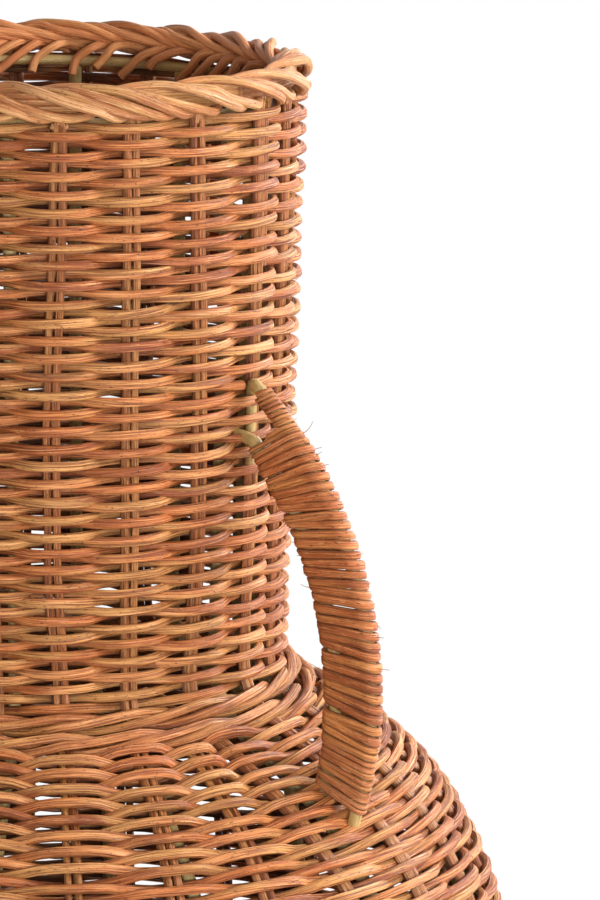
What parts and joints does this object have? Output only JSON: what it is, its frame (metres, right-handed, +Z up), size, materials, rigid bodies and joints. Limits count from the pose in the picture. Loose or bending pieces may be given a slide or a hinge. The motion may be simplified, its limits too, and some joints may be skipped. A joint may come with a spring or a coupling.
{
  "type": "rattan vase",
  "caption": "Woven rattan vase with a tall round neck, a plaited rim, a wide round belly and a cane-wrapped side handle, for dried stems or display.",
  "frame": {"origin": "on the floor under the middle of the vase", "axes": "+Z up along the axis of the vase, +X towards the handle"},
  "size_m": [0.3018, 0.304, 0.47],
  "materials": {
    "weave_cane": "matt orange-brown core cane with fine lengthwise fibres and strand-to-strand colour changes",
    "stake_cane": "matt brown core cane in pairs",
    "border_cane": "matt honey-coloured core cane",
    "peeled_cane": "satin pale olive-beige peeled cane",
    "wrap_cane": "matt reddish-brown strip with frayed fibres"
  },
  "bodies": {
    "root": {"rim_border": "border_cane", "rim_hoop": "peeled_cane", "neck_weave": "weave_cane", "shoulder_wale": "weave_cane", "shoulder_weave": "weave_cane", "belly_weave": "weave_cane", "foot_weave": "weave_cane", "base_weave": "weave_cane", "base_cross": "stake_cane", "foot_hoop": "peeled_cane", "stake_01": "stake_cane", "stake_02": "stake_cane", "stake_03": "stake_cane", "stake_04": "stake_cane", "stake_05": "stake_cane", "stake_06": "stake_cane", "stake_07": "stake_cane", "stake_08": "stake_cane", "stake_09": "stake_cane", "stake_10": "stake_cane", "stake_11": "stake_cane", "stake_12": "stake_cane", "stake_13": "stake_cane", "stake_14": "stake_cane", "stake_15": "stake_cane", "stake_16": "stake_cane", "stake_17": "stake_cane", "stake_18": "stake_cane", "stake_19": "stake_cane", "stake_20": "stake_cane", "stake_21": "stake_cane", "stake_22": "stake_cane", "added_stake_1": "stake_cane", "added_stake_2": "stake_cane", "added_stake_3": "stake_cane", "added_stake_4": "stake_cane", "frame_post_01": "peeled_cane", "frame_post_02": "peeled_cane", "frame_post_03": "peeled_cane", "frame_post_04": "peeled_cane", "frame_post_05": "peeled_cane", "frame_post_06": "peeled_cane", "frame_post_07": "peeled_cane", "frame_post_08": "peeled_cane", "frame_post_09": "peeled_cane", "frame_post_10": "peeled_cane", "frame_post_11": "peeled_cane", "frame_post_12": "peeled_cane", "handle_core_outer": "peeled_cane", "handle_core_inner": "peeled_cane", "handle_wrap": "wrap_cane"}
  },
  "joints": []
}
